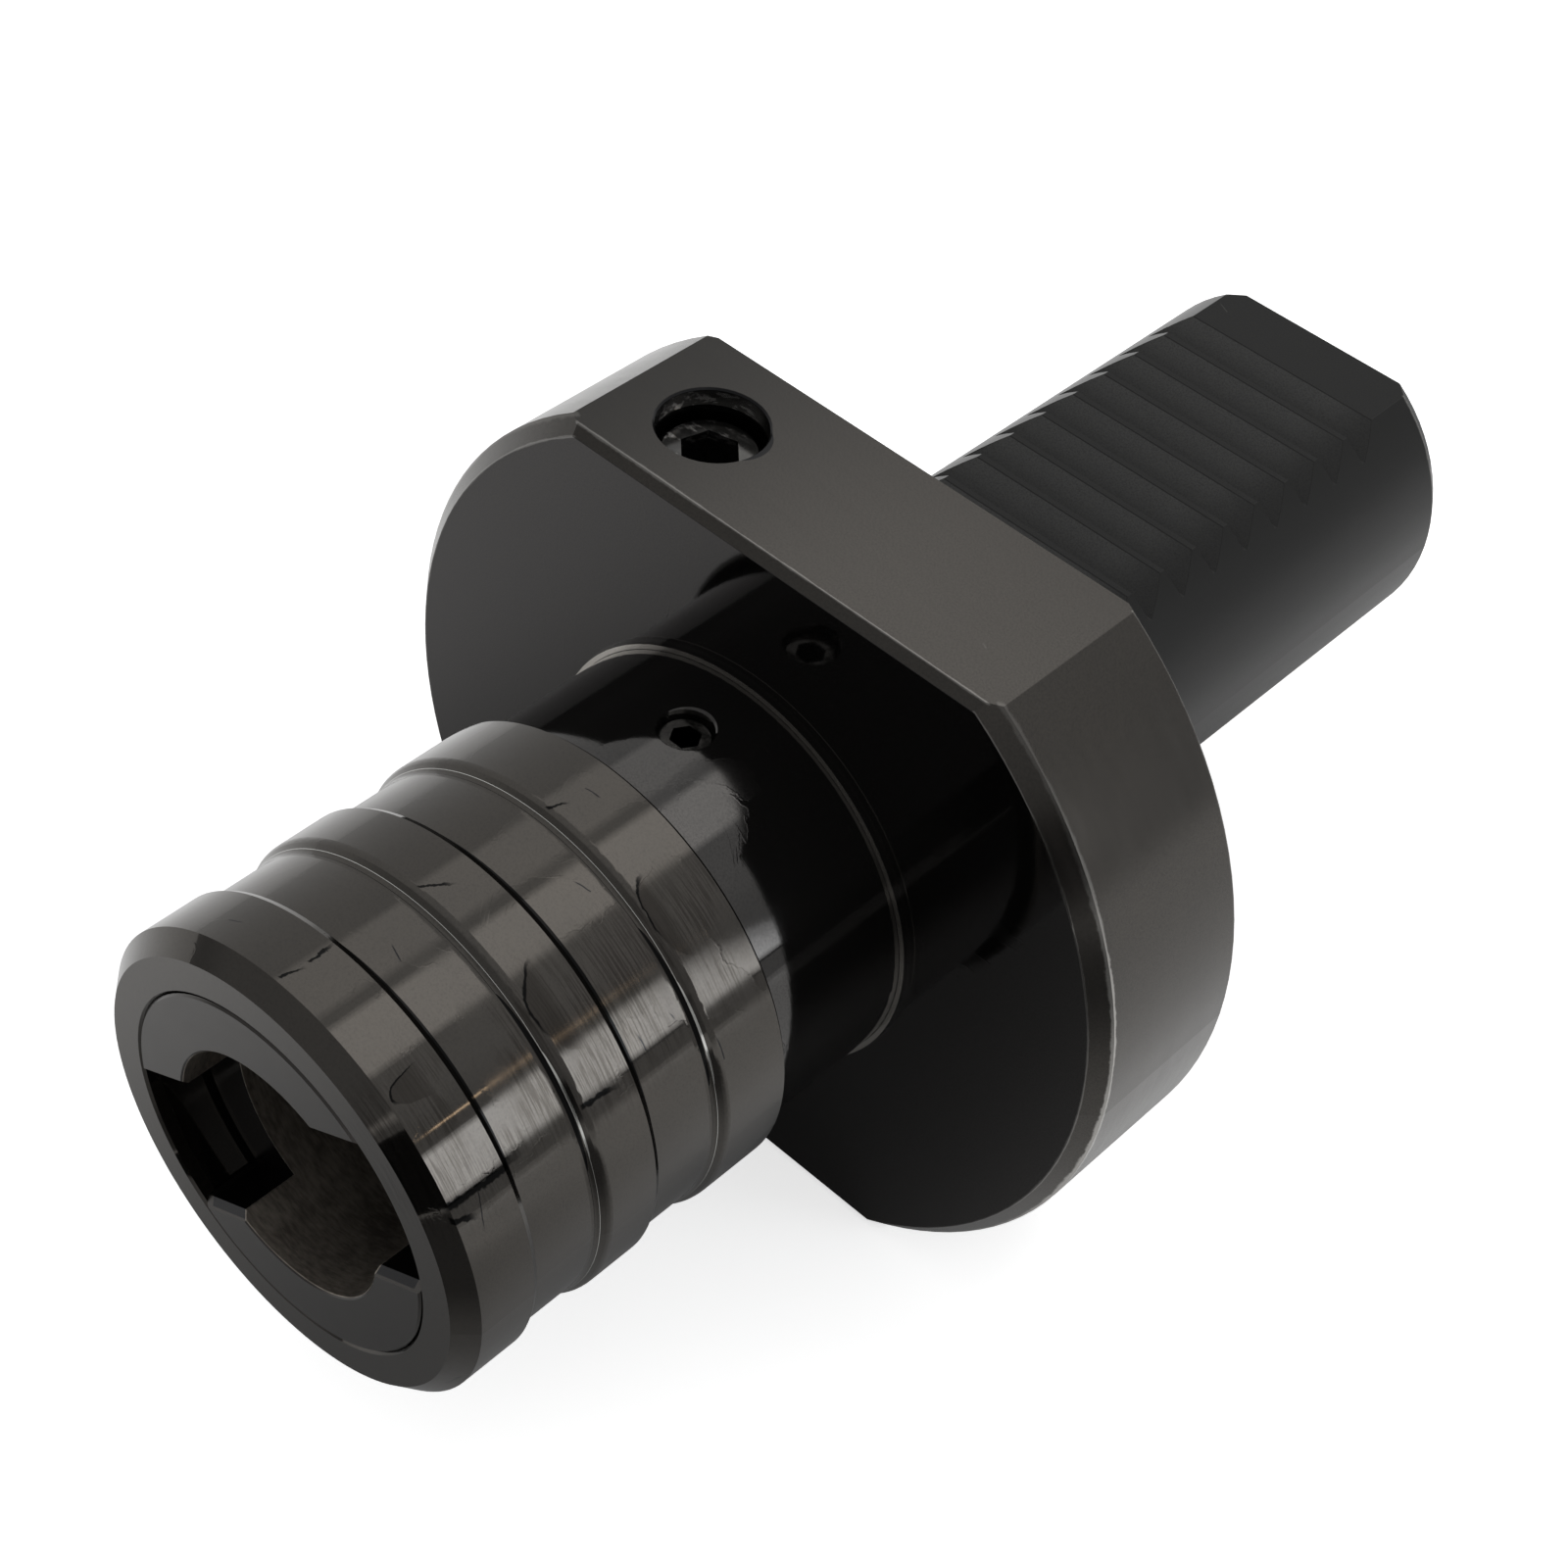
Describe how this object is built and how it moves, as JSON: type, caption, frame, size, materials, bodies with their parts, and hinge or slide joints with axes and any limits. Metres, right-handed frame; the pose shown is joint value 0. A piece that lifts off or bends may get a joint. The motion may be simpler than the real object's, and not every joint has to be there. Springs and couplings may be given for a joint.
{
  "type": "vdi tool holder",
  "caption": "Cylindrical-shank turret tool holder with a toothed clamping flat, a flanged body with two flats, and a floating quick-change tapping chuck under a grooved locking sleeve.",
  "frame": {"origin": "centre of the flange's rear seating face, on the shank's axis", "axes": "+Y along the shank, away from the nose; +Z out of the flange's top flat, the side of the shank's toothed flat; +X completes the right-handed frame"},
  "size_m": [0.068, 0.113, 0.056],
  "materials": {
    "body_steel": "black oxide, ground, oiled",
    "sleeve_steel": "black oxide, turned, oiled",
    "spindle_steel": "hardened, dark satin",
    "screw_steel": "black screws",
    "bright_steel": "ground, bright",
    "spring_steel": "drawn wire",
    "seal_rubber": "matt"
  },
  "bodies": {
    "holder": {"holder_body": "body_steel", "key_screw_upper": "screw_steel", "key_screw_lower": "screw_steel", "coolant_plug": "screw_steel", "shank_seal": "seal_rubber", "wiper_ring": "seal_rubber", "bumper_ring": "seal_rubber", "spring_seat": "bright_steel", "return_spring": "spring_steel", "end_plug": "screw_steel", "end_plug_seal": "seal_rubber"},
    "spindle": {"float_spindle": "spindle_steel", "tie_bolt": "screw_steel", "spring_collar": "bright_steel", "spring_washer": "bright_steel", "retaining_clip": "spring_steel", "sleeve_spring": "spring_steel"},
    "sleeve": {"locking_sleeve": "sleeve_steel"},
    "ball_upper": {"locking_ball_upper": "bright_steel"},
    "ball_lower": {"locking_ball_lower": "bright_steel"}
  },
  "joints": [
    {"name": "spindle_float", "type": "slide", "parent": "holder", "child": "spindle", "axis": [0, -1, 0], "range_m": [0, 0.007], "stiffness_N_per_m": 8000, "springref_m": -0.0075, "deforming": ["return_spring"]},
    {"name": "sleeve_release", "type": "slide", "parent": "spindle", "child": "sleeve", "axis": [0, 1, 0], "range_m": [0, 0.0035], "stiffness_N_per_m": 900, "springref_m": -0.005, "deforming": ["sleeve_spring"]},
    {"name": "ball_upper_slide", "type": "slide", "parent": "spindle", "child": "ball_upper", "axis": [-0.5075, 0, 0.8616], "range_m": [0, 0.0011]},
    {"name": "ball_lower_slide", "type": "slide", "parent": "spindle", "child": "ball_lower", "axis": [0.5075, 0, -0.8616], "range_m": [0, 0.0011]}
  ],
  "couplings": [
    {"joint": "ball_upper_slide", "follows": "sleeve_release", "ratio": 0.31429},
    {"joint": "ball_lower_slide", "follows": "sleeve_release", "ratio": 0.31429}
  ]
}
